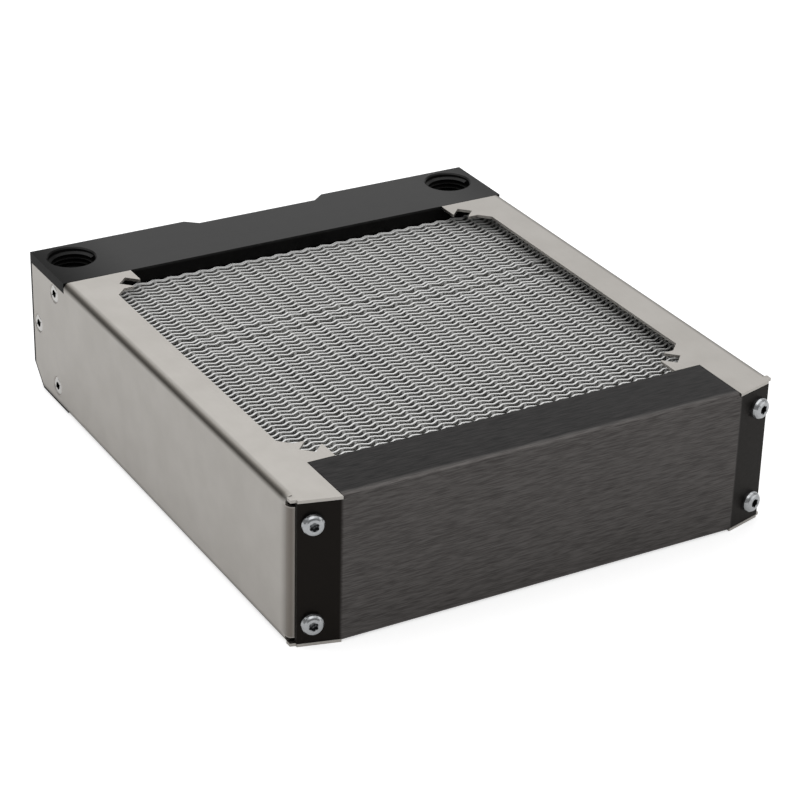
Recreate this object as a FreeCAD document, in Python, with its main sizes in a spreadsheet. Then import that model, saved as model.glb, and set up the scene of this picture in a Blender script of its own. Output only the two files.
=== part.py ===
import FreeCAD, Part
import math
import os
import re

import Sketcher
from FreeCAD import Placement, Rotation, Vector

# Air-cooled radiator for a liquid cooling loop, sized for one 120 mm fan.
# Frame: origin on the fan axis at the underside, +Z up towards the ports,
# +Y towards the terminal block, the front cover faces -Y. All sizes in mm.

SIZES = [
    ("overall_width", 138.0, "outside of one side panel to the other"),
    ("overall_height", 40.0, "underside to the top of the flanges"),
    ("fan_pitch", 105.0, "screw spacing of a 120 mm fan, both ways"),
    ("opening_side", 6.0, "air opening beyond the fan screws, across X"),
    ("opening_end", 6.75, "air opening beyond the fan screws, along Y"),
    ("block_depth", 23.3, "terminal block, front face to back face"),
    ("block_foot", 0.6, "block's underside above the panels' underside"),
    ("block_corner", 6.0, "chamfer on the lower back corner of the block"),
    ("recess_mouth", 44.2, "relief in the back of the block, at its mouth"),
    ("recess_floor", 37.0, "relief in the back of the block, at its floor"),
    ("recess_depth", 2.9, "depth of that relief"),
    ("port_inset", 8.9, "port axis in from the outside of the panel"),
    ("port_setback", 8.25, "port axis to the back face"),
    ("port_thread", 13.16, "outer diameter of the G 1/4 thread"),
    ("port_mouth", 13.9, "diameter of the countersunk port mouth"),
    ("port_depth", 10.0, "threaded depth of a port"),
    ("feed_bore", 6.4, "hole from a port down to its gallery"),
    ("gallery_bore", 8.0, "cross hole that feeds one row of tubes"),
    ("gallery_spacing", 10.0, "between the two gallery axes"),
    ("gallery_setback", 11.25, "gallery axis behind the block's front face"),
    ("gallery_wall", 2.4, "solid between a gallery's end and the other feed"),
    ("plug_length", 5.0, "plug in the open end of a gallery"),
    ("socket_depth", 8.0, "socket that takes a tube end"),
    ("sheet", 0.8, "stainless sheet of the side panels"),
    ("bend_radius", 1.6, "outer radius of the stainless bends"),
    ("panel_lip", 3.0, "block above the panel's top edge"),
    ("panel_sill", 0.6, "block below the panel's bottom edge"),
    ("panel_setback", 1.0, "panel's back edge to the block's back face"),
    ("tab_inset", 9.3, "corner tab's edge in from the opening's edge"),
    ("notch_side", 4.25, "square notch on each fan screw place"),
    ("cover_sheet", 1.0, "aluminium sheet of the front cover"),
    ("wing_span", 12.3, "flat front of the cover to the panel's outside"),
    ("cover_depth", 18.2, "cover's front face to its flange edge"),
    ("cover_bend", 1.5, "outer radius of the cover's bends"),
    ("wing_sweep", 15.0, "degrees that a wing is swept back"),
    ("wing_inset", 1.5, "wing's edge in from the panel's outside"),
    ("corner_relief", 0.5, "swept flange's end below the rolled edge's bend"),
    ("corner_land", 1.0, "swept bend's inner corner to the rolled edge's end"),
    ("corner_slit", 0.4, "slit between the rolled edge and the corner tongue"),
    ("tongue_inset", 0.2, "tongue's edge in from the panel's outside"),
    ("tongue_setback", 0.6, "tongue's front behind the front of its flange"),
    ("flange_return", 10.4, "swept flange across X from the panel's outside"),
    ("wing_screw_inset", 5.1, "wing screws in from the panel's outside"),
    ("wing_screw_margin", 6.4, "wing screws in from the top and underside"),
    ("wing_screw_length", 5.0, "shank of a wing screw"),
    ("wing_head_width", 5.8, "pan head of a wing screw"),
    ("wing_head_height", 2.0, "height of that head"),
    ("wing_head_rim", 1.0, "upright rim of that head"),
    ("screw_thread", 3.0, "M3 thread of every screw"),
    ("nut_width", 5.0, "clinch nut across its flats"),
    ("nut_height", 2.0, "thickness of a clinch nut"),
    ("side_head_width", 5.5, "countersunk head of a side screw"),
    ("sink_land", 0.1, "sheet left upright under a countersink"),
    ("side_screw_length", 6.0, "whole length of a side screw"),
    ("side_screw_margin", 5.9, "outer side screws in from the top and underside"),
    ("side_screw_back", 16.4, "outer side screws in from the back face"),
    ("side_screw_middle", 4.2, "middle side screw in from the back face"),
    ("tube_width", 9.52, "outer diameter of a cooling tube"),
    ("tube_columns", 7.0, "number of tube columns"),
    ("row_margin", 12.06, "tube axes in from the top and underside"),
    ("tube_entry", 7.0, "how far a tube end sits in the block"),
    ("bend_front", 9.45, "cover face to the axis of the tube returns"),
    ("fin_pitch", 2.008, "between neighbouring fins"),
    ("end_fin_pitch", 1.25, "between the last two fins at the block"),
    ("fin_sheet", 0.2, "fin sheet"),
    ("fin_gap", 1.525, "fin's end to the inside of the panel"),
    ("fin_inset", 4.2, "fin edges below the top and above the underside"),
    ("plate_sheet", 1.0, "front tube plate"),
    ("plate_setback", 2.0, "front tube plate behind the cover's flange edge"),
    ("tube_flats", 8.0, "flats drawn in place of a round tube or gallery"),
    ("screw_flats", 12.0, "flats drawn in place of a round screw or its hole"),
    ("clearance", 0.05, "gap where a piece slides or seats in another"),
    ("joint_gap", 0.15, "visible gap between neighbouring sheet edges"),
]

doc = FreeCAD.newDocument("radiator")
sheet = doc.addObject("Spreadsheet::Sheet", "Sizes")
for row, (alias, value, note) in enumerate(SIZES, start=1):
    sheet.set(f"A{row}", alias)
    sheet.set(f"B{row}", str(value))
    sheet.set(f"C{row}", note)
    sheet.setAlias(f"B{row}", alias)
doc.recompute()
names = {alias for alias, value, note in SIZES}


def linked(formula):
    """The same formula with each size read from the sheet."""
    return re.sub(
        r"[a-z_]+", lambda word: "Sizes." + word[0] if word[0] in names else word[0], formula
    )


def number(formula):
    """What a formula comes to with the present sizes."""
    return float(sheet.evalExpression(linked(formula)))


# Places that several pieces share, as formulas on the sizes.
BLOCK_FRONT = "(fan_pitch / 2 + opening_end)"
BLOCK_BACK = f"({BLOCK_FRONT} + block_depth)"
COVER_EDGE = f"(-{BLOCK_FRONT})"
COVER_FACE = f"(-{BLOCK_FRONT} - cover_depth)"
OPENING_EDGE = "(fan_pitch / 2 + opening_side)"
MIDDLE = "overall_height / 2"
PANEL_SKIN = "overall_width / 2"
PANEL_INSIDE = "(overall_width / 2 - sheet)"
SWEPT_TOP = "(overall_height - bend_radius - corner_relief)"
SWEPT_FOOT = "(bend_radius + corner_relief)"
WING_ROOT = "(overall_width / 2 - wing_span)"
PORT_ACROSS = "(overall_width / 2 - port_inset)"
FIN_HALF = f"({PANEL_INSIDE} - fin_gap)"
TUBE_PITCH = f"(2 * {FIN_HALF} / tube_columns)"
UPPER_ROW = "(overall_height - row_margin)"
LOWER_ROW = "row_margin"


def swept(across, inset):
    """Y on a line parallel to the right wing, at X = across, inset behind its outer face."""
    slope = "tan(wing_sweep * 1 deg)"
    tilt = "cos(wing_sweep * 1 deg)"
    return f"({COVER_FACE} + ({across} - {WING_ROOT}) * {slope} + ({inset}) / {tilt})"


def tube_across(column):
    """X of one column of tubes, counted from the left."""
    return f"(({column} - (tube_columns - 1) / 2) * {TUBE_PITCH})"


def new_body(label, several=False):
    body = doc.addObject("PartDesign::Body", label)
    body.Label = label
    body.AllowCompound = several
    return body


def add_sketch(body, name, role, lift="0", shift="0", climb="0", turn=None):
    """Sketch on one of the body's own planes, moved, and turned about Z if asked."""
    sketch = body.newObject("Sketcher::SketchObject", name)
    base = next(item for item in body.Origin.OriginFeatures if item.Role == role)
    sketch.AttachmentSupport = [(base, "")]
    sketch.MapMode = "FlatFace"
    if turn:
        upright = Vector(0, 0, 1) if role == "XY_Plane" else Vector(0, 1, 0)
        sketch.AttachmentOffset = Placement(Vector(), Rotation(upright, number(turn)))
        sketch.setExpression("AttachmentOffset.Rotation.Angle", linked(turn))
    sketch.setExpression("AttachmentOffset.Base.x", linked(shift))
    sketch.setExpression("AttachmentOffset.Base.y", linked(climb))
    sketch.setExpression("AttachmentOffset.Base.z", linked(lift))
    return sketch


def pin_point(sketch, item, end, across, up):
    """Hold a point of the sketch at a place given by two formulas."""
    for kind, formula in (("DistanceX", across), ("DistanceY", up)):
        held = sketch.addConstraint(
            Sketcher.Constraint(kind, -1, 1, item, end, number(formula))
        )
        sketch.setExpression(f"Constraints[{held}]", linked(formula))


def add_outline(sketch, points):
    """Closed outline of straight lines through points given as pairs of formulas."""
    places = [Vector(number(across), number(up), 0) for across, up in points]
    first = sketch.GeometryCount
    count = len(points)
    for index in range(count):
        edge = Part.LineSegment(places[index], places[(index + 1) % count])
        sketch.addGeometry(edge, False)
    for index, (across, up) in enumerate(points):
        after = first + (index + 1) % count
        sketch.addConstraint(Sketcher.Constraint("Coincident", first + index, 2, after, 1))
        pin_point(sketch, first + index, 1, across, up)


def add_box(sketch, left, right, low, high):
    add_outline(sketch, [(left, low), (right, low), (right, high), (left, high)])


def add_flats(sketch, across, up, width, flats):
    """Small round outline drawn with flats; the width is across the flats."""
    count = int(number(flats))
    step = 360 / count
    corner = f"({width}) / 2 / cos({step / 2} deg)"
    turns = [f"{(index + 0.5) * step} deg" for index in range(count)]
    add_outline(sketch, [
        (f"{across} + {corner} * cos({turn})", f"{up} + {corner} * sin({turn})")
        for turn in turns
    ])


def add_circle(sketch, across, up, width):
    centre = Vector(number(across), number(up), 0)
    item = sketch.addGeometry(Part.Circle(centre, Vector(0, 0, 1), number(width) / 2), False)
    pin_point(sketch, item, 3, across, up)
    held = sketch.addConstraint(Sketcher.Constraint("Diameter", item, number(width)))
    sketch.setExpression(f"Constraints[{held}]", linked(width))


def add_feature(body, kind, name, profile, length=None, reverse=False, both=False):
    """Pad or pocket of a sketch; without a length a pocket goes through everything."""
    feature = body.newObject("PartDesign::" + kind, name)
    feature.Profile = profile
    feature.Reversed = reverse
    if both:
        feature.SideType = "Symmetric"
    if length:
        feature.setExpression("Length", linked(length))
    else:
        feature.Type = "ThroughAll"
    body.Tip = feature
    doc.recompute()
    return feature


def add_mirror(body, name, originals):
    """Repeat features on the other side of the middle plane."""
    mirror = body.newObject("PartDesign::Mirrored", name)
    mirror.Originals = originals
    base = next(item for item in body.Origin.OriginFeatures if item.Role == "YZ_Plane")
    mirror.MirrorPlane = (base, [""])
    body.Tip = mirror
    doc.recompute()
    return mirror


def add_row(body, name, original, role, copies, length):
    """Repeat a feature along one of the body's axes, with all copies over the length."""
    pattern = body.newObject("PartDesign::LinearPattern", name)
    pattern.Originals = [original]
    along = next(item for item in body.Origin.OriginFeatures if item.Role == role)
    pattern.Direction = (along, [""])
    pattern.setExpression("Occurrences", linked(copies))
    pattern.setExpression("Length", linked(length))
    body.Tip = pattern
    doc.recompute()
    return pattern


def dress_edges(body, kind, name, size, wanted):
    """Fillet or chamfer on the edges of the body's tip that the test picks out."""
    base = body.Tip
    picked = [f"Edge{n}" for n, edge in enumerate(base.Shape.Edges, start=1) if wanted(edge)]
    dressed = body.newObject("PartDesign::" + kind, name)
    dressed.Base = (base, picked)
    dressed.setExpression("Radius" if kind == "Fillet" else "Size", linked(size))
    body.Tip = dressed
    doc.recompute()
    return dressed


# How near counts as the same place when an edge is looked up.
SAME_PLACE = 0.02


def runs_along(axis, places):
    """Test for straight edges along X, Y or Z that pass through one of the given places."""
    def wanted(edge):
        low = edge.BoundBox
        spans = [low.XLength, low.YLength, low.ZLength]
        centre = [low.Center.x, low.Center.y, low.Center.z]
        across = max(span for n, span in enumerate(spans) if n != axis)
        if spans[axis] < SAME_PLACE or across > SAME_PLACE:
            return False
        del centre[axis]
        return any(
            math.dist(centre, [number(part) for part in place]) < SAME_PLACE for place in places
        )
    return wanted


def lies_across(place, reach):
    """Test for edges on a plane across X, within reach of a place given by three formulas."""
    spot = Vector(*(number(part) for part in place))

    def wanted(edge):
        low = edge.BoundBox
        level = low.XLength < SAME_PLACE and abs(low.Center.x - spot.x) < SAME_PLACE
        return level and low.Center.distanceToPoint(spot) < number(reach)
    return wanted


# Terminal block: machined block with both ports on top, a chamfered lower back
# corner, flat side pockets that the panels lie in, tube sockets and galleries.
def make_block():
    body = new_body("terminal_block")
    side = add_sketch(body, "block_side", "YZ_Plane")
    add_outline(side, [
        (BLOCK_FRONT, "block_foot"), (f"{BLOCK_BACK} - block_corner", "block_foot"),
        (BLOCK_BACK, "block_foot + block_corner"), (BLOCK_BACK, "overall_height"),
        (BLOCK_FRONT, "overall_height"),
    ])
    add_feature(body, "Pad", "block_pad", side, "overall_width", both=True)

    relief = add_sketch(body, "block_relief", "XY_Plane")
    floor = f"{BLOCK_BACK} - recess_depth"
    add_outline(relief, [
        ("-recess_mouth / 2", BLOCK_BACK), ("-recess_floor / 2", floor),
        ("recess_floor / 2", floor), ("recess_mouth / 2", BLOCK_BACK),
    ])
    add_feature(body, "Pocket", "block_relief_cut", relief, reverse=True)

    for end in ("-", ""):
        side = "left" if end else "right"
        pocket = add_sketch(body, f"{side}_panel_pocket", "YZ_Plane", lift=f"{end}{PANEL_SKIN}")
        add_outline(pocket, tail_outline(BLOCK_FRONT, "clearance"))
        add_feature(body, "Pocket", f"{side}_pocket_cut", pocket, "sheet + clearance",
                    reverse=bool(end))

    ports = add_sketch(body, "port_places", "XY_Plane", lift="overall_height")
    mouths = add_sketch(body, "port_mouths", "XY_Plane", lift="overall_height")
    for end in ("-", ""):
        place = (f"{end}{PORT_ACROSS}", f"{BLOCK_BACK} - port_setback")
        add_circle(ports, *place, "port_thread")
        add_circle(mouths, *place, "port_mouth")
    add_feature(body, "Pocket", "port_bores", ports, "port_depth")
    mouth = add_feature(body, "Pocket", "port_chamfers", mouths, "(port_mouth - port_thread) / 2")
    mouth.TaperAngle = -45

    reach = f"{PANEL_SKIN} + {PORT_ACROSS} - feed_bore / 2 - gallery_wall"
    for end, level in (("-", "+"), ("", "-")):
        row = "upper" if level == "+" else "lower"
        feed = add_sketch(body, f"{row}_feed", "XY_Plane", lift="overall_height")
        add_flats(feed, f"{end}{PORT_ACROSS}", f"{BLOCK_BACK} - port_setback", "feed_bore",
                  "tube_flats")
        depth = f"overall_height / 2 - {level}1 * gallery_spacing / 2"
        add_feature(body, "Pocket", f"{row}_feed_bore", feed, depth)
        gallery = add_sketch(body, f"{row}_gallery", "YZ_Plane", lift=f"{end}{PANEL_SKIN}")
        add_flats(gallery, f"{BLOCK_FRONT} + gallery_setback",
                  f"{MIDDLE} {level} gallery_spacing / 2", "gallery_bore", "tube_flats")
        add_feature(body, "Pocket", f"{row}_gallery_bore", gallery, reach, reverse=bool(end))

    sockets = add_sketch(body, "tube_sockets", "XZ_Plane", lift=f"-{BLOCK_FRONT}")
    for level in (UPPER_ROW, LOWER_ROW):
        add_flats(sockets, tube_across(0), level, "tube_width + 2 * clearance", "tube_flats")
    pair = add_feature(body, "Pocket", "socket_pair", sockets, "socket_depth")
    add_row(body, "socket_row", pair, "X_Axis", "tube_columns", f"{TUBE_PITCH} * (tube_columns - 1)")

    for end in ("-", ""):
        add_side_screw_holes(
            body, "left_block" if end else "right_block", f"{end}({PANEL_INSIDE} - clearance)",
            "side_screw_length - sheet + clearance", "screw_thread + 2 * clearance",
            "side_head_width - 2 * (sheet + clearance)", reverse=bool(end),
        )
    return body


# Outline of a panel's tail from the side, or of its pocket with a gap all round.
def tail_outline(front, spare):
    low = f"(block_foot + panel_sill - {spare})"
    back = f"({BLOCK_BACK} - panel_setback + {spare})"
    high = f"(overall_height - panel_lip + {spare})"
    corner = "(block_corner - panel_setback + panel_sill * (sqrt(2) - 1))"
    return [
        (front, low), (f"{back} - {corner}", low), (back, f"{low} + {corner}"),
        (back, high), (front, high),
    ]


# Where the side screws sit, as pairs of formulas in the side view.
SIDE_SCREWS = [
    (f"{BLOCK_BACK} - side_screw_back", "overall_height - side_screw_margin"),
    (f"{BLOCK_BACK} - side_screw_middle", MIDDLE),
    (f"{BLOCK_BACK} - side_screw_back", "side_screw_margin"),
]


# Holes for the side screws, cut inwards from the plane at X = face, with their
# mouths opened to a countersink.
def add_side_screw_holes(body, name, face, depth, bore, mouth, reverse=False):
    holes = add_sketch(body, f"{name}_screw_holes", "YZ_Plane", lift=face)
    for place in SIDE_SCREWS:
        add_flats(holes, *place, bore, "screw_flats")
    add_feature(body, "Pocket", f"{name}_screw_hole_cuts", holes, depth, reverse=reverse)
    tests = [lies_across((face, *place), f"({bore}) / 2 + clearance") for place in SIDE_SCREWS]
    dress_edges(body, "Chamfer", f"{name}_countersinks", f"({mouth} - ({bore})) / 2",
                lambda edge: any(test(edge) for test in tests))


# Plugs: short plugs that close the drilled ends of the two galleries.
def make_plug(row, end, level):
    body = new_body(f"{row}_gallery_plug")
    face = f"{end}({PANEL_INSIDE} - clearance)"
    profile = add_sketch(body, f"{row}_plug_circle", "YZ_Plane", lift=face)
    add_flats(profile, f"{BLOCK_FRONT} + gallery_setback",
              f"{MIDDLE} {level} gallery_spacing / 2", "gallery_bore - 2 * clearance", "tube_flats")
    add_feature(body, "Pad", f"{row}_plug_pad", profile, "plug_length", reverse=not end)
    return body


# Side panel: one folded stainless sheet. A channel with inward flanges above
# and below, a plain tail that lies in the block's pocket and a swept flange
# behind the wing of the cover. Slits free the bends from each other.
def make_right_panel():
    body = new_body("right_side_panel")
    section = add_sketch(body, "channel_section", "XZ_Plane", lift=f"-{COVER_FACE}")
    tab = f"{OPENING_EDGE} - tab_inset"
    add_outline(section, [
        (tab, "0"), (PANEL_SKIN, "0"), (PANEL_SKIN, "overall_height"),
        (tab, "overall_height"), (tab, "overall_height - sheet"),
        (PANEL_INSIDE, "overall_height - sheet"), (PANEL_INSIDE, "sheet"), (tab, "sheet"),
    ])
    length = f"2 * {BLOCK_FRONT} + cover_depth - joint_gap"
    add_feature(body, "Pad", "channel_pad", section, length, reverse=True)
    dress_edges(body, "Fillet", "channel_outer_bends", "bend_radius",
                runs_along(1, [(PANEL_SKIN, "0"), (PANEL_SKIN, "overall_height")]))
    inner = [(PANEL_INSIDE, "sheet"), (PANEL_INSIDE, "overall_height - sheet")]
    dress_edges(body, "Fillet", "channel_inner_bends", "bend_radius - sheet", runs_along(1, inner))

    # The air opening's edge with its corner tabs and the square screw notches.
    opening = add_sketch(body, "opening_edge", "XY_Plane")
    add_outline(opening, opening_outline())
    add_feature(body, "Pocket", "opening_cut", opening, reverse=True)

    front = add_sketch(body, "flange_front", "XY_Plane")
    add_outline(front, [
        ("0", f"{COVER_FACE} - sheet"), (f"{PANEL_SKIN} + sheet", f"{COVER_FACE} - sheet"),
        (f"{PANEL_SKIN} + sheet", swept(f"{PANEL_SKIN} + sheet", "0")), ("0", swept("0", "0")),
    ])
    add_feature(body, "Pocket", "flange_front_cut", front, reverse=True)

    # The rolled edges stop short of the front, and a flat tongue of the flange
    # fills each corner.
    skin = "cover_sheet + clearance"
    roll_end = f"({swept(PANEL_INSIDE, f'{skin} + sheet')} + corner_land)"
    root = f"{PANEL_SKIN} - bend_radius"
    corner = add_sketch(body, "corner_relief_outline", "XY_Plane")
    add_box(corner, root, f"{PANEL_SKIN} + sheet", f"{COVER_FACE} - sheet", roll_end)
    add_feature(body, "Pocket", "corner_relief_cut", corner, reverse=True)
    tip = f"({PANEL_SKIN} - tongue_inset)"
    for name, lift in (("upper_tongue", "overall_height - sheet"), ("lower_tongue", "0")):
        tongue = add_sketch(body, f"{name}_outline", "XY_Plane", lift=lift)
        add_outline(tongue, [
            (root, swept(root, "tongue_setback")), (tip, swept(tip, "tongue_setback")),
            (tip, f"{roll_end} - corner_slit"), (root, f"{roll_end} - corner_slit"),
        ])
        add_feature(body, "Pad", name, tongue, "sheet")

    fold = add_sketch(body, "swept_flange", "XY_Plane", lift=SWEPT_FOOT)
    edge = f"({PANEL_SKIN} - flange_return)"
    outer = (PANEL_SKIN, swept(PANEL_SKIN, skin))
    inside = (PANEL_INSIDE, swept(PANEL_INSIDE, f"{skin} + sheet"))
    add_outline(fold, [
        (PANEL_SKIN, roll_end), outer, (edge, swept(edge, skin)),
        (edge, swept(edge, f"{skin} + sheet")), inside, (PANEL_INSIDE, roll_end),
    ])
    add_feature(body, "Pad", "swept_flange_pad", fold, f"{SWEPT_TOP} - {SWEPT_FOOT}")
    dress_edges(body, "Fillet", "swept_outer_bend", "bend_radius", runs_along(2, [outer]))
    dress_edges(body, "Fillet", "swept_inner_bend", "bend_radius - sheet", runs_along(2, [inside]))

    tail = add_sketch(body, "block_tail", "YZ_Plane", lift=PANEL_INSIDE)
    add_outline(tail, tail_outline(f"{BLOCK_FRONT} - sheet", "0"))
    add_feature(body, "Pad", "block_tail_pad", tail, "sheet")

    add_side_screw_holes(body, "panel", PANEL_SKIN, "sheet + clearance",
                         "side_head_width - 2 * (sheet - sink_land)", "side_head_width")
    add_wing_holes(body, "flange", skin, "sheet + clearance")
    return body


# The opening's right-hand edge, from the block round to the cover. The notch
# is a square standing on its corner, centred on the fan screw.
def opening_outline():
    edge = OPENING_EDGE
    tab = f"({OPENING_EDGE} - tab_inset)"
    reach = "(notch_side / sqrt(2))"
    centre = "fan_pitch / 2"
    mouth = f"(fan_pitch - {reach} - {tab})"
    cut = f"({mouth} + {edge} - {centre} - {reach})"
    slope = f"({tab} - ({edge} - ({centre} + {reach})))"
    corner = [
        (tab, mouth), (f"{centre} - {reach}", centre),
        (centre, f"{centre} + {reach}"), (f"{centre} + {reach}", centre),
        (centre, f"{centre} - {reach}"), (mouth, tab),
        (f"{centre} + {reach}", tab), (edge, slope),
    ]
    front = [(across, f"-({up})") for across, up in reversed(corner)]
    fore = f"({WING_ROOT} + joint_gap)"
    step = f"{COVER_EDGE} + joint_gap"
    return [
        ("0", BLOCK_FRONT), (tab, BLOCK_FRONT), *corner, *front, (tab, step), (fore, step),
        (fore, f"{COVER_FACE} - sheet"), ("0", f"{COVER_FACE} - sheet"),
    ]


# Sketch square to the right wing's screws, at a depth behind its outer face,
# and where the screws stand along it.
def add_wing_sketch(body, name, inset):
    slope = "sin(wing_sweep * 1 deg)"
    tilt = "cos(wing_sweep * 1 deg)"
    return add_sketch(
        body, name, "XZ_Plane", turn="wing_sweep",
        shift=f"{WING_ROOT} - ({inset}) * {slope}", lift=f"-{COVER_FACE} - ({inset}) * {tilt}",
    )


WING_SCREW_ALONG = "((wing_span - wing_screw_inset) / cos(wing_sweep * 1 deg))"


# Holes for the wing screws, centred on the plane at the given depth.
def add_wing_holes(body, name, inset, depth):
    holes = add_wing_sketch(body, f"{name}_screw_places", inset)
    for up in ("wing_screw_margin", "overall_height - wing_screw_margin"):
        add_flats(holes, WING_SCREW_ALONG, up, "screw_thread + 2 * clearance", "screw_flats")
    return add_feature(body, "Pocket", f"{name}_screw_holes", holes, f"({depth}) * 2", both=True)


# Front cover: folded aluminium sheet with flanges above and below and a wing
# at each end, swept back and tucked between the flanges of the side panels.
def make_cover():
    body = new_body("front_cover")
    section = add_sketch(body, "cover_section", "YZ_Plane")
    back = COVER_EDGE
    inner = f"{COVER_FACE} + cover_sheet"
    add_outline(section, [
        (back, "0"), (COVER_FACE, "0"), (COVER_FACE, "overall_height"),
        (back, "overall_height"), (back, "overall_height - cover_sheet"),
        (inner, "overall_height - cover_sheet"), (inner, "cover_sheet"), (back, "cover_sheet"),
    ])
    add_feature(body, "Pad", "cover_pad", section, f"2 * {WING_ROOT}", both=True)
    dress_edges(body, "Fillet", "cover_outer_bends", "cover_bend",
                runs_along(0, [(COVER_FACE, "0"), (COVER_FACE, "overall_height")]))
    corners = [(inner, "cover_sheet"), (inner, "overall_height - cover_sheet")]
    dress_edges(body, "Fillet", "cover_inner_bends", "cover_bend - cover_sheet", runs_along(0, corners))

    wing = add_sketch(body, "wing_plan", "XY_Plane", lift="sheet + clearance * 2")
    tip = f"({PANEL_SKIN} - wing_inset)"
    add_outline(wing, [
        (WING_ROOT, COVER_FACE), (tip, swept(tip, "0")), (tip, swept(tip, "cover_sheet")),
        (WING_ROOT, f"{COVER_FACE} + cover_sheet / cos(wing_sweep * 1 deg)"),
        (f"{WING_ROOT} - cover_sheet", f"{COVER_FACE} + cover_sheet"),
        (f"{WING_ROOT} - cover_sheet", COVER_FACE),
    ])
    pad = add_feature(body, "Pad", "wing_pad", wing, "overall_height - 2 * (sheet + clearance * 2)")
    holes = add_wing_holes(body, "wing", "cover_sheet / 2", "cover_sheet")
    add_mirror(body, "wings", [pad, holes])
    return body


# Slots that clear one column of two tubes, in a plate that lies across Y.
def add_tube_slots(sketch, spare):
    reach = f"(tube_width / 2 + {spare})"
    for column in range(int(number("tube_columns"))):
        across = tube_across(column)
        add_box(sketch, f"{across} - {reach}", f"{across} + {reach}",
                f"{LOWER_ROW} - {reach}", f"{UPPER_ROW} + {reach}")


# Fin stack: thin plates across X, threaded on the tubes at an even pitch, with
# one more fin close against the terminal block.
def make_fins():
    body = new_body("fin_stack", several=True)
    last = f"-({BLOCK_FRONT} - clearance)"
    for name, lift in (("end_fin", last), ("fin", f"{last} + end_fin_pitch")):
        sketch = add_sketch(body, f"{name}_outline", "XZ_Plane", lift=lift)
        add_box(sketch, f"-{FIN_HALF}", FIN_HALF, "fin_inset", "overall_height - fin_inset")
        add_tube_slots(sketch, "clearance")
        pad = add_feature(body, "Pad", f"{name}_pad", sketch, "fin_sheet")
    room = f"2 * {BLOCK_FRONT} + plate_setback - clearance - end_fin_pitch - fin_sheet"
    row = add_row(body, "fin_row", pad, "Y_Axis", f"floor(({room}) / fin_pitch) + 1",
                  f"fin_pitch * floor(({room}) / fin_pitch)")
    row.Reversed = True
    return body


# Front tube plate: stands across the housing just under the cover's flanges
# and steadies the tubes where they leave the fins.
def make_tube_plate():
    body = new_body("front_tube_plate")
    face = f"-({COVER_EDGE} - plate_setback)"
    sketch = add_sketch(body, "plate_outline", "XZ_Plane", lift=face)
    half = f"({PANEL_INSIDE} - 2 * joint_gap)"
    rim = "(cover_sheet + 2 * clearance)"
    add_box(sketch, f"-{half}", half, rim, f"overall_height - {rim}")
    add_tube_slots(sketch, "clearance")
    add_feature(body, "Pad", "plate_pad", sketch, "plate_sheet")
    return body


# Hairpin tube: copper tube that runs from the upper gallery to the front,
# turns down behind the cover and comes back to the lower gallery.
def make_hairpin(column):
    body = new_body(f"hairpin_tube_{column + 1}")
    across = tube_across(column)
    path = add_sketch(body, f"tube_path_{column + 1}", "YZ_Plane", lift=across)
    back = f"{BLOCK_FRONT} + tube_entry"
    turn = f"({COVER_FACE} + bend_front)"
    corner = f"(({UPPER_ROW} - {LOWER_ROW}) / 4)"
    stops = [
        (back, UPPER_ROW), (f"{turn} + {corner}", UPPER_ROW),
        (turn, f"{UPPER_ROW} - {corner}"), (turn, f"{LOWER_ROW} + {corner}"),
        (f"{turn} + {corner}", LOWER_ROW), (back, LOWER_ROW),
    ]
    places = [Vector(number(along), number(up), 0) for along, up in stops]
    for index in range(len(stops) - 1):
        path.addGeometry(Part.LineSegment(places[index], places[index + 1]), False)
        pin_point(path, index, 1, *stops[index])
    for index in range(len(stops) - 2):
        path.addConstraint(Sketcher.Constraint("Coincident", index, 2, index + 1, 1))
    pin_point(path, len(stops) - 2, 2, *stops[-1])
    ring = add_sketch(body, f"tube_ring_{column + 1}", "XZ_Plane", lift=f"-({back})")
    add_flats(ring, across, UPPER_ROW, "tube_width", "tube_flats")
    pipe = body.newObject("PartDesign::AdditivePipe", f"tube_{column + 1}")
    pipe.Profile = ring
    pipe.Spine = path
    pipe.Transition = "Right corner"
    body.Tip = pipe
    doc.recompute()
    return body


# Side screw: countersunk M3 screw through the panel's tail into the block,
# with its head flush with the panel.
def make_side_screw(index):
    name = f"side_screw_{index + 1}"
    body = new_body(name)
    width = "(side_head_width - 2 * clearance)"
    drop = f"(({width} - screw_thread) / 2)"
    head = add_sketch(body, f"{name}_head", "YZ_Plane", lift=PANEL_SKIN)
    add_flats(head, *SIDE_SCREWS[index], width, "screw_flats")
    disc = add_feature(body, "Pad", f"{name}_disc", head, drop, reverse=True)
    sides = [f"Face{n}" for n, face in enumerate(disc.Shape.Faces, start=1)
             if face.BoundBox.XLength > SAME_PLACE]
    cone = body.newObject("PartDesign::Draft", f"{name}_cone")
    cone.Base = (disc, sides)
    cone.NeutralPlane = (head, [""])
    cone.Angle = 45
    cone.Reversed = True
    body.Tip = cone
    shank = add_sketch(body, f"{name}_shank", "YZ_Plane", lift=f"{PANEL_SKIN} - {drop}")
    add_flats(shank, *SIDE_SCREWS[index], "screw_thread", "screw_flats")
    add_feature(body, "Pad", f"{name}_thread", shank, f"side_screw_length - {drop}", reverse=True)
    return body


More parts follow.
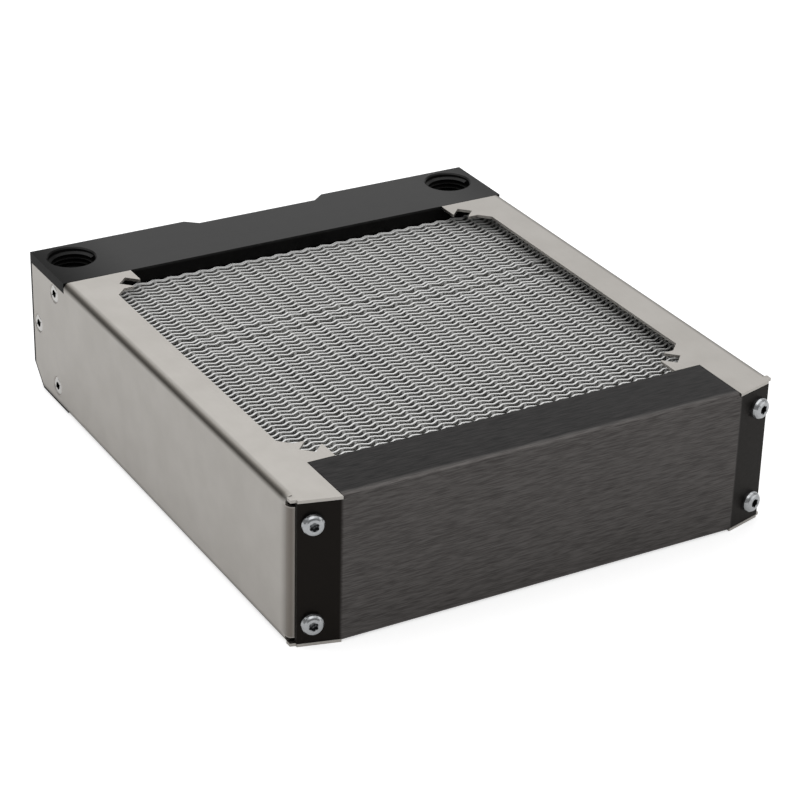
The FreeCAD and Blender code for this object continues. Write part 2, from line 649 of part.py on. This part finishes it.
# Wing screw: pan-head M3 screw that clamps the wing and the swept flange,
# standing square to the wing.
def make_wing_screw(name, up):
    body = new_body(name)
    shank = add_wing_sketch(body, f"{name}_shank", "0")
    add_flats(shank, WING_SCREW_ALONG, up, "screw_thread", "screw_flats")
    add_feature(body, "Pad", f"{name}_thread", shank, "wing_screw_length", reverse=True)
    head = add_wing_sketch(body, f"{name}_head", "0")
    add_flats(head, WING_SCREW_ALONG, up, "wing_head_width", "screw_flats")
    add_feature(body, "Pad", f"{name}_head_pad", head, "wing_head_height")
    crown = min(body.Tip.Shape.Faces, key=lambda face: face.CenterOfMass.y)
    dress_edges(body, "Chamfer", f"{name}_crown", "wing_head_height - wing_head_rim",
                lambda edge: any(edge.isSame(side) for side in crown.Edges))
    return body


# Clinch nut: threaded hexagon pressed onto the back of the swept flange.
def make_clinch_nut(name, up):
    body = new_body(name)
    profile = add_wing_sketch(body, f"{name}_outline", "cover_sheet + 2 * clearance + sheet")
    corner = "nut_width / sqrt(3)"
    add_outline(profile, [
        (f"{WING_SCREW_ALONG} + {corner} * cos({60 * n} deg)", f"{up} + {corner} * sin({60 * n} deg)")
        for n in range(6)
    ])
    add_flats(profile, WING_SCREW_ALONG, up, "screw_thread + 2 * clearance", "screw_flats")
    add_feature(body, "Pad", f"{name}_pad", profile, "nut_height", reverse=True)
    return body


def mirrored(piece, label):
    """The same piece on the other side of the middle plane."""
    twin = doc.addObject("Part::Mirroring", label)
    twin.Label = label
    twin.Source = piece
    twin.Normal = Vector(1, 0, 0)
    return twin


def grouped(pieces, label):
    """Identical fasteners kept together as separate solids."""
    group = doc.addObject("Part::Compound", label)
    group.Label = label
    group.Links = pieces
    return group


right_panel = make_right_panel()
parts = [
    make_block(),
    make_plug("upper", "-", "+"),
    make_plug("lower", "", "-"),
    right_panel,
    mirrored(right_panel, "left_side_panel"),
    make_cover(),
    make_fins(),
    make_tube_plate(),
]
for column in range(int(number("tube_columns"))):
    parts.append(make_hairpin(column))

right_side_screws = grouped([make_side_screw(index) for index in range(len(SIDE_SCREWS))],
                            "right_side_screws")
parts += [right_side_screws, mirrored(right_side_screws, "left_side_screws")]

nuts = []
for level, up in (("upper", "(overall_height - wing_screw_margin)"), ("lower", "wing_screw_margin")):
    screw = make_wing_screw(f"right_{level}_wing_screw", up)
    parts += [screw, mirrored(screw, f"left_{level}_wing_screw")]
    nut = make_clinch_nut(f"right_{level}_nut", up)
    nuts += [nut, mirrored(nut, f"left_{level}_nut")]
parts.append(grouped(nuts, "clinch_nuts"))
doc.recompute()

for item in doc.Objects:
    if "Invalid" in item.State or "Error" in item.State:
        raise RuntimeError(f"{item.Label} failed: {item.State}")
for piece in parts:
    if piece.Shape.isNull() or not piece.Shape.isValid():
        raise RuntimeError(f"{piece.Label} has no valid shape")

os.makedirs("parts", exist_ok=True)
for piece in parts:
    piece.Shape.exportStep(f"parts/{piece.Label}.step")
    box = piece.Shape.BoundBox
    print(f"{piece.Label}: {len(piece.Shape.Solids)} solids, {piece.Shape.Volume:.1f} mm3, "
          f"x {box.XMin:.2f} to {box.XMax:.2f}, y {box.YMin:.2f} to {box.YMax:.2f}, "
          f"z {box.ZMin:.2f} to {box.ZMax:.2f}")
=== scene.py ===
import math
import random

import bmesh
import bpy
from mathutils import Matrix, Vector


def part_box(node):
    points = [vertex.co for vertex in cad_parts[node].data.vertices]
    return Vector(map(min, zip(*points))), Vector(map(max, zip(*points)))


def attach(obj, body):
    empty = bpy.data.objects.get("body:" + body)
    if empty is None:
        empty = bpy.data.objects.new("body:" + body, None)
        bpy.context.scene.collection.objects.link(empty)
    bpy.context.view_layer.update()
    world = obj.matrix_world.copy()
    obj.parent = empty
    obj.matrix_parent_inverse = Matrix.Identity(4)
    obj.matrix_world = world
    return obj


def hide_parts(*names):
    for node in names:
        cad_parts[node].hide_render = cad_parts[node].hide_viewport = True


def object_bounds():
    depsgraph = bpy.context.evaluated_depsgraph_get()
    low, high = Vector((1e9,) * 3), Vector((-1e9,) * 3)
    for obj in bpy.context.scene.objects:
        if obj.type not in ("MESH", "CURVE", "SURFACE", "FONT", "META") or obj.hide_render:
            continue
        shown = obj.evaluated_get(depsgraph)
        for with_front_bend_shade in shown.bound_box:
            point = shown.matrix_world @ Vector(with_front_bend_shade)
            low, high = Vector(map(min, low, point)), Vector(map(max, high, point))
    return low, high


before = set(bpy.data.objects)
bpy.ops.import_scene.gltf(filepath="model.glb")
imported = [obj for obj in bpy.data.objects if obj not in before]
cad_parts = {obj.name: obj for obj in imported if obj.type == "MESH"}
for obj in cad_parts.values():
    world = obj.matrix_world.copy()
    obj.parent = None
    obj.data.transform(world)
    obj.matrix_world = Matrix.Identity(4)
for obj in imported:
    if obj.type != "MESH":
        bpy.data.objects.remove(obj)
cad_low, cad_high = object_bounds()
MM = 0.001

# Viewpoint. A long lens looks down on the left-hand front corner, turned a
# little about its own axis, and the radiator stands on its underside.
AZIMUTH = math.radians(-30.152)
ELEVATION = math.radians(27.477)
ROLL = math.radians(1.447)
AIM = Vector((-2.058, -7.995, 20.0)) * MM
DISTANCE = 695.49 * MM
LENS = 118.09


def stand_camera():
    back = Vector((
        math.sin(AZIMUTH) * math.cos(ELEVATION),
        -math.cos(AZIMUTH) * math.cos(ELEVATION),
        math.sin(ELEVATION),
    ))
    level = (-back).cross(Vector((0, 0, 1))).normalized()
    upright = level.cross(-back)
    right = math.cos(ROLL) * level + math.sin(ROLL) * upright
    up = math.cos(ROLL) * upright - math.sin(ROLL) * level
    turn = Matrix((right, up, back)).transposed().to_4x4()
    eye = bpy.data.objects.new("viewpoint", bpy.data.cameras.new("viewpoint"))
    eye.data.lens = LENS
    eye.data.sensor_width = 36.0
    eye.data.clip_start = 0.05
    eye.matrix_world = Matrix.Translation(AIM + back * DISTANCE) @ turn
    bpy.context.scene.collection.objects.link(eye)
    bpy.context.scene.camera = eye


stand_camera()


# Studio. A pale floor, a pale surround with a bright screen behind the radiator
# and a bright ceiling over it, and two soft lamps. Floor and surround show as
# white, and the shadow stays.
class Wire:
    """One output of a shader node; arithmetic on it adds the nodes it needs."""

    def __init__(self, tree, socket):
        self.tree = tree
        self.socket = socket

    def node(self, kind, inputs=None, out=0, **settings):
        made = self.tree.nodes.new(kind)
        for name, value in settings.items():
            setattr(made, name, value)
        for name, value in (inputs or {}).items():
            if isinstance(value, Wire):
                self.tree.links.new(value.socket, made.inputs[name])
            else:
                made.inputs[name].default_value = value
        return Wire(self.tree, made.outputs[out])

    def calc(self, operation, *others):
        return self.node("ShaderNodeMath", dict(enumerate((self, *others))), operation=operation)

    def __add__(self, other):
        return self.calc("ADD", other)

    def __mul__(self, other):
        return self.calc("MULTIPLY", other)

    def __sub__(self, other):
        return self.calc("SUBTRACT", other)

    def __rsub__(self, other):
        return self * -1.0 + other

    __radd__ = __add__
    __rmul__ = __mul__

    def between(self, low, high):
        """0 below low, 1 above high, smooth in between."""
        sockets = {"Value": self, "From Min": low, "From Max": high}
        return self.node("ShaderNodeMapRange", sockets, interpolation_type="SMOOTHSTEP")

    def mixed(self, first, second):
        """Colour between two colours, by this value."""
        sockets = {0: self, 6: first, 7: second}
        return self.node("ShaderNodeMix", sockets, out=2, data_type="RGBA")


FLOOR_HALF = 3.0
FLOOR_DROP = 0.02 * MM
FLOOR_COLOUR = (0.8, 0.8, 0.8, 1.0)
FLOOR_GLOW = 0.6
FLOOR_SHEEN = 0.14
SURROUND = 0.62
SCREEN_SIDE = (0.48, 0.76, 0.44)
SCREEN_EDGE = (0.5, 0.92)
SCREEN_BRIGHT = 0.98
SCREEN_AROUND = 0.34
CEILING_EDGE = (0.6, 0.85)
CEILING_BRIGHT = 1.0
LAMPS = (
    ("back_softbox", (-0.15, 0.35, 1.25), 2.0, 8.9),
    ("side_softbox", (1.0, -0.9, 0.45), 1.1, 3.2),
)


def light_paths(tree):
    """Wires that are 1 for what the camera sees, and for what a mirror shows."""
    path = tree.nodes.new("ShaderNodeLightPath")
    return Wire(tree, path.outputs["Is Camera Ray"]), Wire(tree, path.outputs["Is Glossy Ray"])


def lay_floor():
    grid = bmesh.new()
    bmesh.ops.create_grid(grid, x_segments=1, y_segments=1, size=FLOOR_HALF)
    bmesh.ops.translate(grid, verts=grid.verts, vec=(0, 0, cad_low.z - FLOOR_DROP))
    mesh = bpy.data.meshes.new("floor")
    grid.to_mesh(mesh)
    grid.free()
    floor = bpy.data.objects.new("floor", mesh)
    bpy.context.scene.collection.objects.link(floor)
    paint = bpy.data.materials.new("floor_paint")
    paint.use_nodes = True
    tree = paint.node_tree
    tree.nodes.clear()
    seen, mirrored = light_paths(tree)
    matt = seen.node("ShaderNodeBsdfDiffuse", {"Color": FLOOR_COLOUR})
    strength = seen * FLOOR_GLOW + mirrored * FLOOR_SHEEN
    glow = seen.node("ShaderNodeEmission", {"Strength": strength})
    both = seen.node("ShaderNodeAddShader", {0: matt, 1: glow})
    output = tree.nodes.new("ShaderNodeOutputMaterial")
    tree.links.new(both.socket, output.inputs["Surface"])
    mesh.materials.append(paint)


def light_studio():
    world = bpy.data.worlds.new("surround")
    bpy.context.scene.world = world
    world.use_nodes = True
    tree = world.node_tree
    tree.nodes.clear()
    seen, mirrored = light_paths(tree)
    way = Wire(tree, tree.nodes.new("ShaderNodeTexCoord").outputs["Generated"])
    side = tuple(Vector(SCREEN_SIDE).normalized())
    facing = way.node("ShaderNodeVectorMath", {0: way, 1: side}, out=1, operation="DOT_PRODUCT")
    rise = way.node("ShaderNodeSeparateXYZ", {0: way}, out=2)
    wall = facing.between(*SCREEN_EDGE) * (SCREEN_BRIGHT - SCREEN_AROUND)
    ceiling = rise.between(*CEILING_EDGE) * (CEILING_BRIGHT - SCREEN_AROUND)
    screen = wall.calc("MAXIMUM", ceiling) + SCREEN_AROUND
    strength = seen * (1.0 - SURROUND) + mirrored * (screen - SURROUND) + SURROUND
    sky = seen.node("ShaderNodeBackground", {"Strength": strength})
    output = tree.nodes.new("ShaderNodeOutputWorld")
    tree.links.new(sky.socket, output.inputs["Surface"])
    for name, place, size, power in LAMPS:
        lamp = bpy.data.lights.new(name, "AREA")
        lamp.shape = "SQUARE"
        lamp.size = size
        lamp.energy = power
        box = bpy.data.objects.new(name, lamp)
        box.location = place
        box.rotation_euler = (-Vector(place)).to_track_quat("-Z", "Y").to_euler()
        bpy.context.scene.collection.objects.link(box)


lay_floor()
light_studio()
bpy.context.scene.view_settings.view_transform = "Standard"


# Hairpin tubes and the plate that steadies them. Drawn copper with a dull
# skin, and zinc-plated sheet; both show only between the fins.
def new_finish(name, colour, metallic, roughness):
    """Material, its surface node and a wire that carries the place on the object."""
    material = bpy.data.materials.new(name)
    material.use_nodes = True
    tree = material.node_tree
    surface = tree.nodes["Principled BSDF"]
    surface.inputs["Base Color"].default_value = (*colour, 1.0)
    surface.inputs["Metallic"].default_value = metallic
    surface.inputs["Roughness"].default_value = roughness
    place = Wire(tree, tree.nodes.new("ShaderNodeTexCoord").outputs["Object"])
    return material, surface, place


def feed(surface, socket, wire):
    """Drive one socket of a surface by a pattern."""
    wire.tree.links.new(wire.socket, surface.inputs[socket])


def grain(place, size, stretch=(1.0, 1.0, 1.0), detail=4.0):
    """Noise whose spots are about size across, stretched along the axes."""
    scale = tuple(1.0 / (size * part) for part in stretch)
    spread = place.node("ShaderNodeMapping", {"Vector": place, "Scale": scale})
    return place.node("ShaderNodeTexNoise", {"Vector": spread, "Scale": 1.0, "Detail": detail})


def roughen(surface, height, depth):
    """Bump of a given depth in metres."""
    bump = height.node("ShaderNodeBump", {"Height": height, "Distance": depth, "Strength": 1.0})
    feed(surface, "Normal", bump)


def dress(node, material):
    """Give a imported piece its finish."""
    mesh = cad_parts[node].data
    mesh.materials.clear()
    mesh.materials.append(material)


def copper_finish():
    material, surface, place = new_finish("drawn_copper", (0.72, 0.36, 0.22), 1.0, 0.34)
    stain = grain(place, 6 * MM, (1.0, 4.0, 1.0))
    shade = stain.between(0.35, 0.7)
    feed(surface, "Base Color", shade.mixed((0.74, 0.38, 0.24, 1), (0.42, 0.2, 0.13, 1)))
    feed(surface, "Roughness", shade * 0.2 + 0.28)
    return material


def plate_finish():
    material, surface, place = new_finish("plated_sheet", (0.5, 0.5, 0.5), 1.0, 0.4)
    cloud = grain(place, 3 * MM)
    feed(surface, "Base Color", cloud.mixed((0.42, 0.42, 0.43, 1), (0.56, 0.56, 0.55, 1)))
    feed(surface, "Roughness", cloud * 0.2 + 0.3)
    return material


COPPER = copper_finish()
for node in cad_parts:
    if node.startswith("hairpin_tube"):
        dress(node, COPPER)
dress("front_tube_plate", plate_finish())


# Fin stack. Thin aluminium plates pressed into waves, all in step, and threaded
# on the tubes by drawn collars; the last plate lies close against the block.
# The top and bottom edges and the crests of the waves carry a painted highlight, and a few edges are
# bent.
FIN_PITCH = 2.008 * MM
FIN_COUNT = 59
END_FIN_PITCH = 0.65 * MM
FIN_SHEET = 0.42 * MM
FIN_END = 0.66 * MM
TUBE_PITCH = 19.05 * MM
TUBE_COLUMNS = range(-3, 4)
TUBE_ROWS = (12.06 * MM, 27.94 * MM)
WAVE = TUBE_PITCH / 4
# Corners of one wave: the share of its length, and the height in millimetres.
WAVE_FORM = ((0.0, 0.46), (0.22, 0.28), (0.5, -0.42), (0.58, -0.47), (0.75, -0.2), (0.9, 0.24))
# Painted highlight: its place on each wave's crest, its width and strength, and its band along the
# top and bottom edges.
CREST = 0.1
CREST_EDGE = (0.04, 0.11)
CREST_HIGHLIGHT = 0.85
EDGE_HIGHLIGHT_DEPTH = 0.36 * MM
EDGE_HIGHLIGHT_CLEAR = 0.04 * MM
SEED = 7
LEAN = 0.05 * MM
SWELL = 0.05
RIPPLE = 0.012 * MM
# Bent edges: the place across and along, the reach across and the push, in millimetres.
BENT_SPOTS = (
    (-14.5, -6.9, 3.0, 0.55), (1.0, -14.9, 2.2, -0.5), (-30.0, -0.4, 14.0, -0.35),
    (24.0, 21.0, 5.0, 0.25), (-39.0, 33.0, 6.0, 0.22),
)
BENT_REACH_ALONG = 1.2
COLLAR_RADIUS = 5.3 * MM
COLLAR_STEPS = 14
COLLAR_LAP = 1.01
COLLAR_WALL = 0.15 * MM


def add_fin(stack, low, high, along, luck):
    """One wavy plate standing across the core at Y = along."""
    waves = round((high.x - low.x) / WAVE)
    steps = waves * len(WAVE_FORM)
    made = bmesh.ops.create_grid(stack, x_segments=steps, y_segments=1, size=0.5)["verts"]
    middle = (low.z + high.z) / 2
    lean = luck.uniform(-LEAN, LEAN)
    swell = luck.uniform(1 - SWELL, 1 + SWELL)
    for vert in made:
        whole, fold = divmod(round((vert.co.x + 0.5) * steps), len(WAVE_FORM))
        share, height = WAVE_FORM[fold]
        across = low.x + (whole + share) * WAVE
        up = low.z + (vert.co.y + 0.5) * (high.z - low.z)
        shift = lean + luck.uniform(-RIPPLE, RIPPLE)
        for spot_x, spot_y, reach, push in BENT_SPOTS:
            if up > middle:
                aside = (along / MM - spot_y) / BENT_REACH_ALONG
                far = math.hypot((across / MM - spot_x) / reach, aside)
                shift += push * MM * math.exp(-far * far)
        vert.co = Vector((across, along + height * MM * swell + shift, up))


def make_fins():
    low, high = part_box("fin_stack")
    luck = random.Random(SEED)
    stack = bmesh.new()
    last = high.y - FIN_END
    places = [last] + [last - END_FIN_PITCH - FIN_PITCH * n for n in range(FIN_COUNT)]
    for along in places:
        add_fin(stack, low, high, along, luck)
    bmesh.ops.recalc_face_normals(stack, faces=stack.faces)
    bmesh.ops.solidify(stack, geom=stack.faces[:], thickness=FIN_SHEET)
    bmesh.ops.recalc_face_normals(stack, faces=stack.faces)
    return finish_piece(stack, "wavy_fins")


def make_collars():
    """Collars of all the fins, round the legs of the seven hairpins."""
    low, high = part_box("fin_stack")
    sleeves = bmesh.new()
    upright = Matrix.Rotation(math.radians(90), 4, "X")
    for column in TUBE_COLUMNS:
        for row in TUBE_ROWS:
            for count in range(FIN_COUNT - 1):
                along = high.y - FIN_END - END_FIN_PITCH - FIN_PITCH * (count + 0.5)
                spot = Matrix.Translation((column * TUBE_PITCH, along, row))
                bmesh.ops.create_cone(
                    sleeves, cap_ends=False, segments=COLLAR_STEPS, depth=FIN_PITCH * COLLAR_LAP,
                    radius1=COLLAR_RADIUS * COLLAR_LAP, radius2=COLLAR_RADIUS, matrix=spot @ upright,
                )
    bmesh.ops.solidify(sleeves, geom=sleeves.faces[:], thickness=COLLAR_WALL)
    bmesh.ops.recalc_face_normals(sleeves, faces=sleeves.faces)
    return finish_piece(sleeves, "fin_collars")


def finish_piece(shape, name):
    """Turn a mesh under construction into a piece of the radiator."""
    mesh = bpy.data.meshes.new(name)
    shape.to_mesh(mesh)
    shape.free()
    piece = bpy.data.objects.new(name, mesh)
    bpy.context.scene.collection.objects.link(piece)
    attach(piece, "root")
    return piece


def axes(place):
    """Wires for how far across, along and up a place lies."""
    split = place.node("ShaderNodeSeparateXYZ", {0: place}).socket.node
    return [Wire(place.tree, socket) for socket in split.outputs]


def fin_finish():
    material, surface, place = new_finish("fin_aluminium", (0.8, 0.8, 0.8), 1.0, 0.36)
    cloud = grain(place, 1.4 * MM)
    dull = grain(place, 18 * MM).between(0.4, 0.7)
    across, _, up = axes(place)
    low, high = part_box("fin_stack")
    middle = (low.z + high.z) / 2
    half = high.z - middle
    # Painted highlight: a light, less metallic colour along the top and bottom edges and on the
    # crests.
    painted_edge_shading = (up - middle).calc("ABSOLUTE").between(half - EDGE_HIGHLIGHT_DEPTH, half - EDGE_HIGHLIGHT_CLEAR)
    share = ((across - low.x) * (1 / WAVE) + 0.5 - CREST).calc("FRACT")
    crest_highlight = 1.0 - (share - 0.5).calc("ABSOLUTE").between(*CREST_EDGE)
    bright = painted_edge_shading.calc("MAXIMUM", crest_highlight * CREST_HIGHLIGHT)
    shade = cloud.mixed((0.47, 0.47, 0.46, 1), (0.63, 0.63, 0.615, 1))
    face = (dull * 0.25).mixed(shade, (0.4, 0.39, 0.37, 1))
    feed(surface, "Base Color", bright.mixed(face, (0.96, 0.96, 0.95, 1)))
    feed(surface, "Metallic", bright * -0.9 + 1.0)
    feed(surface, "Roughness", cloud * 0.16 + 0.34)
    return material


ALUMINIUM = fin_finish()
fins = make_fins()
fins.data.materials.append(ALUMINIUM)
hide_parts("fin_stack")
collars = make_collars()
collars.data.materials.append(ALUMINIUM)


# Terminal block. Machined black polymer with a satin skin and faint tool
# marks, duller at its ends and at its front. It has a threaded port at each end
# and brass plugs in its cross holes.
SHEEN = 0.52
LEFT_FADE = (-74 * MM, -44 * MM)
RIGHT_FADE = (50 * MM, 72 * MM)
RIGHT_LOSS = 0.2


def block_finish():
    material, surface, place = new_finish("black_polymer", (0.01, 0.01, 0.01), 0.0, 0.36)
    surface.inputs["IOR"].default_value = 1.1
    surface.inputs["Coat Roughness"].default_value = 0.3
    marks = grain(place, 0.35 * MM, (40.0, 1.0, 40.0))
    cloud = grain(place, 5 * MM)
    feed(surface, "Base Color", cloud.mixed((0.004, 0.0039, 0.0038, 1), (0.009, 0.0088, 0.0085, 1)))
    feed(surface, "Roughness", marks * 0.14 + 0.26)
    across, along, up = axes(place)
    low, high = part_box("terminal_block")
    sheen = across.between(*LEFT_FADE) * (SHEEN - across.between(*RIGHT_FADE) * RIGHT_LOSS)
    top = up.between(high.z - 1.0 * MM, high.z - 0.2 * MM)
    behind = along.between(low.y + 0.2 * MM, low.y + 2.0 * MM)
    feed(surface, "Coat Weight", sheen * top.calc("MAXIMUM", behind))
    roughen(surface, marks, 0.004 * MM)
    return material


def plug_finish():
    material, surface, place = new_finish("turned_brass", (0.72, 0.52, 0.25), 1.0, 0.3)
    feed(surface, "Roughness", grain(place, 1 * MM) * 0.2 + 0.25)
    return material


BLOCK = block_finish()
dress("terminal_block", BLOCK)
PLUG = plug_finish()
dress("upper_gallery_plug", PLUG)
dress("lower_gallery_plug", PLUG)

PORT_X = 60.1 * MM
PORT_Y = 74.3 * MM
THREAD_OUTER = 6.59 * MM
THREAD_INNER = 5.75 * MM
THREAD_PITCH = 1.337 * MM
THREAD_TURNS = 6
THREAD_START = 0.9 * MM
STEPS_PER_TURN = 48


def make_thread(name, across):
    """Inward ridge of the pipe thread, wound down the wall of one port."""
    ridge = bmesh.new()
    top = cad_high.z - THREAD_START
    tooth = [
        (THREAD_OUTER, 0.0), (THREAD_INNER, -0.38), (THREAD_INNER, -0.5), (THREAD_OUTER, -0.88),
    ]
    corners = [ridge.verts.new((radius, 0, top + drop * THREAD_PITCH)) for radius, drop in tooth]
    face = ridge.faces.new(corners)
    bmesh.ops.spin(
        ridge, geom=[face, *face.edges, *face.verts], cent=(0, 0, 0), axis=(0, 0, 1),
        dvec=(0, 0, -THREAD_PITCH / STEPS_PER_TURN), angle=math.tau * THREAD_TURNS,
        steps=STEPS_PER_TURN * THREAD_TURNS, use_merge=False, use_duplicate=False,
    )
    bmesh.ops.translate(ridge, verts=ridge.verts, vec=(across, PORT_Y, 0))
    bmesh.ops.recalc_face_normals(ridge, faces=ridge.faces)
    thread = finish_piece(ridge, name)
    thread.data.materials.append(BLOCK)


make_thread("left_port_thread", -PORT_X)
make_thread("right_port_thread", PORT_X)


# Side panels. Folded stainless sheet with a fine grain along its length, dull and slightly warm,
# with painted shade on the top and bottom bends and a dark brown painted shade on the front bend.
BEND = 1.6 * MM
HALF_HEIGHT = (cad_high.z - cad_low.z) / 2
FRONT_BEND = (-73.8 * MM, -68.6 * MM)


def stainless_finish():
    material, surface, place = new_finish("fine_stainless", (0.5, 0.48, 0.45), 1.0, 0.42)
    lines = grain(place, 0.12 * MM, (1.0, 60.0, 1.0), detail=2.0)
    cloud = grain(place, 9 * MM)
    shade = (lines * 0.3 + cloud * 0.7).between(0.3, 0.7)
    across, along, up = axes(place)
    level = (up - HALF_HEIGHT).calc("ABSOLUTE")
    outer = across.calc("ABSOLUTE").between(cad_high.x - 1.5 * BEND, cad_high.x - 0.4 * BEND)
    # Top and bottom bends: painted shade, a darker colour.
    painted_edge_shading = outer * level.between(HALF_HEIGHT - 1.5 * BEND, HALF_HEIGHT - 0.4 * BEND)
    tab = level.between(HALF_HEIGHT - 1.6 * BEND, HALF_HEIGHT - 1.2 * BEND)
    front = along.between(*FRONT_BEND)
    # Front bend: painted shade, a dark brown colour.
    front_bend_painted_shade = outer * (1.0 - front) * (1.0 - tab)
    plain = shade.mixed((0.495, 0.472, 0.44, 1), (0.54, 0.516, 0.484, 1))
    with_front_bend_shade = (front_bend_painted_shade * 0.9).mixed(plain, (0.15, 0.13, 0.112, 1))
    feed(surface, "Base Color", (painted_edge_shading * front * 0.9).mixed(with_front_bend_shade, (0.11, 0.1, 0.085, 1)))
    feed(surface, "Roughness", lines * 0.1 + 0.32)
    roughen(surface, lines, 0.001 * MM)
    return material


STAINLESS = stainless_finish()
dress("left_side_panel", STAINLESS)
dress("right_side_panel", STAINLESS)


# Front cover. Folded aluminium, brushed along its length and anodised black, with painted shade on
# the wings, which are plain, and on the lips over the core.
WING_ROOT = 56.7 * MM


def cover_finish():
    material, surface, place = new_finish("black_anodised", (0.07, 0.068, 0.066), 1.0, 0.4)
    lines = grain(place, 0.26 * MM, (16.0, 1.0, 1.0), detail=2.0)
    broad = grain(place, 0.7 * MM, (10.0, 1.0, 1.0), detail=3.0)
    across, along, _ = axes(place)
    # Wings: painted shade, one plain dark colour.
    wing = across.calc("ABSOLUTE").between(WING_ROOT - 0.2 * MM, WING_ROOT + 0.9 * MM)
    lip = along.between(cad_low.y + 1.6 * MM, cad_low.y + 3.4 * MM)
    streak = (lines * 0.65 + broad * 0.35).between(0.3, 0.7)
    brushed = streak.mixed((0.062, 0.057, 0.055, 1), (0.128, 0.12, 0.116, 1))
    # Lips over the core: painted shade, a darker copy of the brushed colour.
    with_lip_shade = lip.mixed(brushed, streak.mixed((0.0, 0.0, 0.0, 1), (0.036, 0.0335, 0.033, 1)))
    feed(surface, "Base Color", wing.mixed(with_lip_shade, (0.016, 0.014, 0.0125, 1)))
    feed(surface, "Roughness", streak * 0.12 + 0.34)
    roughen(surface, lines, 0.006 * MM)
    return material


dress("front_cover", cover_finish())


# Screws. Zinc-plated pan heads with a six-lobed socket hold the wings, and
# small countersunk screws with a hexagonal socket hold the panels' tails.
RING_STEPS = 48
SWEEP = math.radians(15.0)


def six_lobes(angle):
    return 1.0 + 0.13 * math.cos(6 * angle)


def hexagon(angle):
    return 1.0 / math.cos((angle % (math.tau / 6)) - math.tau / 12)


def add_rings(shape, rings, socket_shade):
    """Skin over a row of rings, each a radius, a height and an outline, with closed ends."""
    earlier = None
    for index, (radius, height, outline) in enumerate(rings):
        end = index in (0, len(rings) - 1)
        made = bmesh.ops.create_circle(
            shape, cap_ends=end, segments=RING_STEPS, radius=1.0,
            matrix=Matrix.Translation((0, 0, height * MM)),
        )["verts"]
        for vert in made:
            size = radius * MM
            if outline:
                size *= outline(math.atan2(vert.co.y, vert.co.x))
                # Rings with an outline line the socket and are marked for its painted shade.
                vert[socket_shade] = 1.0
            vert.co.x *= size
            vert.co.y *= size
        own = set(made)
        loop = [edge for edge in shape.edges if set(edge.verts) <= own and len(edge.link_faces) < 2]
        if earlier:
            bmesh.ops.bridge_loops(shape, edges=earlier + loop)
        earlier = loop


def make_screws(name, rings, outward, spots, node, material):
    """Like screws at some spots, all facing outward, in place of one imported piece."""
    shape = bmesh.new()
    socket_shade = shape.verts.layers.float.new("socket_shade")
    turn = outward.to_track_quat("Z", "X").to_matrix().to_4x4()
    for spot in spots:
        earlier = set(shape.verts)
        add_rings(shape, rings, socket_shade)
        fresh = [vert for vert in shape.verts if vert not in earlier]
        bmesh.ops.transform(shape, matrix=Matrix.Translation(spot) @ turn, verts=fresh)
    bmesh.ops.recalc_face_normals(shape, faces=shape.faces)
    screws = finish_piece(shape, name)
    screws.data.materials.append(material)
    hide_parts(node)


def zinc_finish():
    material, surface, place = new_finish("bright_zinc", (0.72, 0.73, 0.75), 1.0, 0.24)
    cloud = grain(place, 0.4 * MM)
    # The socket is painted dark as shade.
    socket_shade = place.node("ShaderNodeAttribute", out=2, attribute_name="socket_shade")
    bright = cloud.mixed((0.36, 0.375, 0.39, 1), (0.6, 0.61, 0.62, 1))
    feed(surface, "Base Color", socket_shade.mixed(bright, (0.14, 0.145, 0.15, 1)))
    feed(surface, "Roughness", cloud * 0.16 + 0.1)
    return material


def side_screw_finish():
    material, surface, place = new_finish("polished_stainless", (0.62, 0.61, 0.59), 1.0, 0.2)
    cloud = grain(place, 0.5 * MM)
    # The socket is painted dark as shade.
    socket_shade = place.node("ShaderNodeAttribute", out=2, attribute_name="socket_shade")
    bright = cloud.mixed((0.6, 0.59, 0.57, 1), (0.76, 0.75, 0.73, 1))
    feed(surface, "Base Color", socket_shade.mixed(bright, (0.03, 0.03, 0.03, 1)))
    feed(surface, "Roughness", cloud * 0.15 + 0.16)
    return material


# Rings of a screw from its socket to its tip: radius and height in millimetres, and outline.
PAN_HEAD = [
    (0.7, 0.7, six_lobes), (0.98, 0.8, six_lobes), (1.08, 1.88, six_lobes), (1.26, 1.98, None),
    (1.9, 1.92, None), (2.35, 1.7, None), (2.7, 1.25, None), (2.88, 0.7, None), (2.9, 0.02, None),
    (1.5, 0.0, None), (1.5, -4.9, None),
]
WING_SCREW_X = 63.9 * MM
WING_SCREW_RISE = 13.6 * MM
HEAD_PROUD = 0.46 * MM
ZINC = zinc_finish()
for side, sign in (("left", -1), ("right", 1)):
    for level, step in (("upper", 1), ("lower", -1)):
        outward = Vector((sign * math.sin(SWEEP), -math.cos(SWEEP), 0))
        front = cad_low.y + HEAD_PROUD + (WING_SCREW_X - WING_ROOT) * math.tan(SWEEP)
        spot = Vector((sign * WING_SCREW_X, front, HALF_HEIGHT + step * WING_SCREW_RISE))
        node = f"{side}_{level}_wing_screw"
        make_screws(f"{node}_head", PAN_HEAD, outward, [spot], node, ZINC)
dress("clinch_nuts", ZINC)

SUNK_HEAD = [
    (0.8, -1.3, hexagon), (0.86, -1.2, hexagon), (0.88, -0.1, hexagon), (1.1, -0.04, None),
    (2.05, -0.04, None), (2.4, -0.2, None), (2.55, -0.42, None), (1.55, -1.4, None),
    (1.45, -1.5, None), (1.45, -5.95, None),
]
SIDE_SPOTS = ((66.15 * MM, 34.1 * MM), (78.35 * MM, 20.0 * MM), (66.15 * MM, 5.9 * MM))
POLISHED = side_screw_finish()
for side, sign in (("left", -1), ("right", 1)):
    outward = Vector((sign, 0, 0))
    spots = [Vector((sign * cad_high.x, along, up)) for along, up in SIDE_SPOTS]
    node = f"{side}_side_screws"
    make_screws(f"{node}_sunk", SUNK_HEAD, outward, spots, node, POLISHED)
